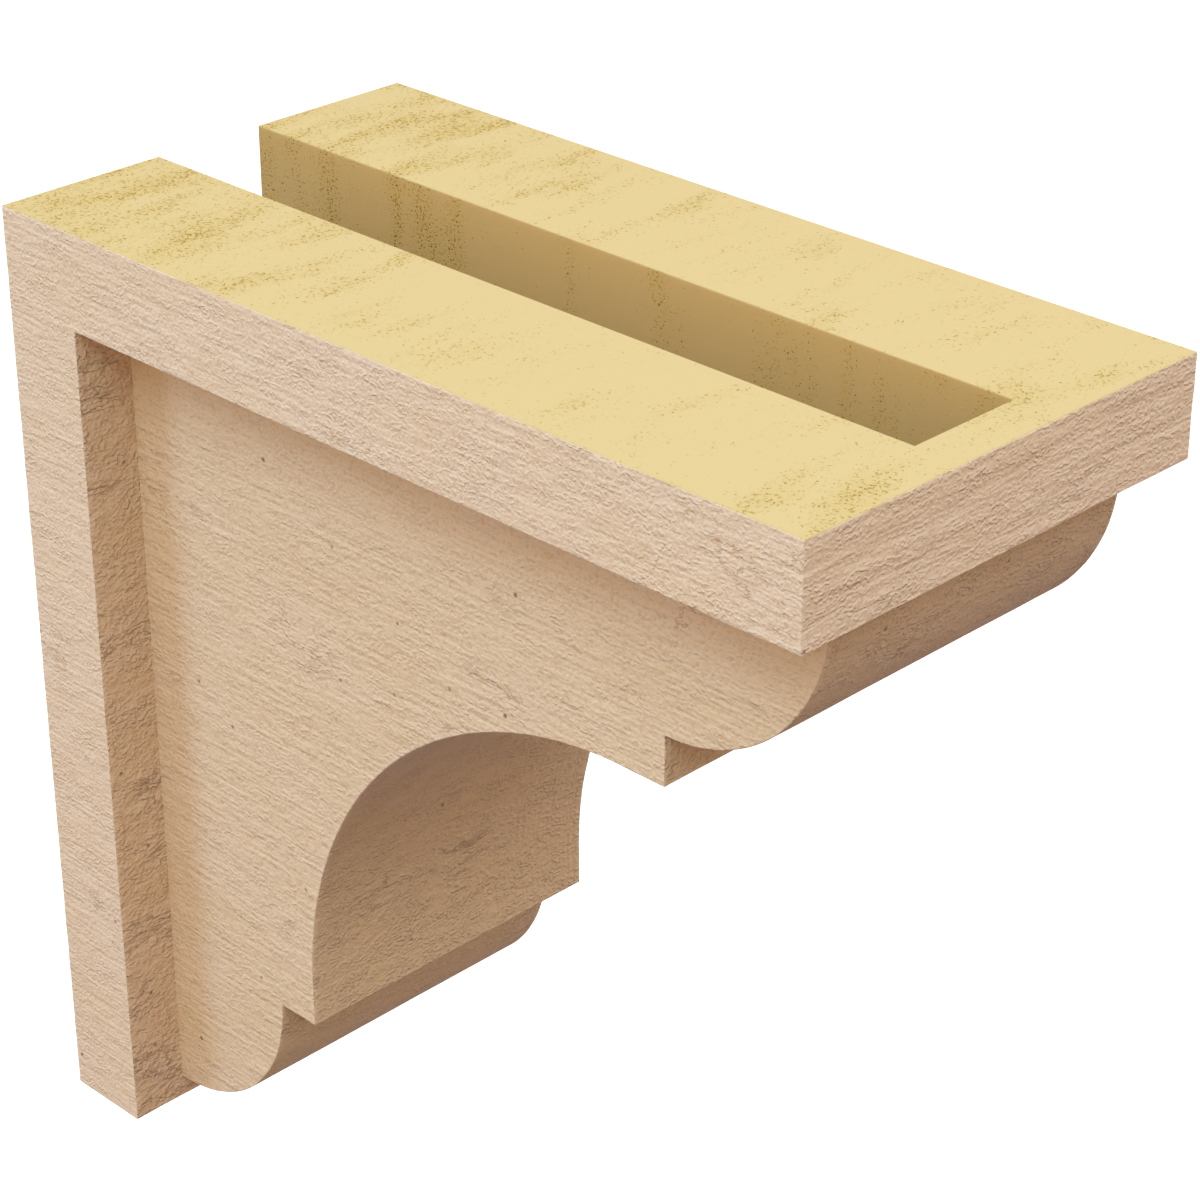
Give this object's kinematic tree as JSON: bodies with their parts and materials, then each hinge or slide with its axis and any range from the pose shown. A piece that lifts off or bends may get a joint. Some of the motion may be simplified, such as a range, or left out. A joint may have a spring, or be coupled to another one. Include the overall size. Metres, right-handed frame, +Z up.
{
  "type": "corbel",
  "caption": "Wood-look foam corbel: an L of back plate and top plate with a narrower body between them, ovolos and a deep cove below, and a bracket slot in the top.",
  "frame": {"origin": "middle of the back face, which lies on the wall", "axes": "+Y into the wall, so the corbel stands out towards -Y; +Z up; X across the width, with the same shape on both sides of x = 0"},
  "size_m": [0.127, 0.254, 0.254],
  "materials": {
    "coated_foam": "rigid polyurethane foam under a matt tan coat with a fine wood grain; bare yellow foam on the top, the back and in the slot"
  },
  "bodies": {
    "root": {"corbel": "coated_foam"}
  },
  "joints": []
}
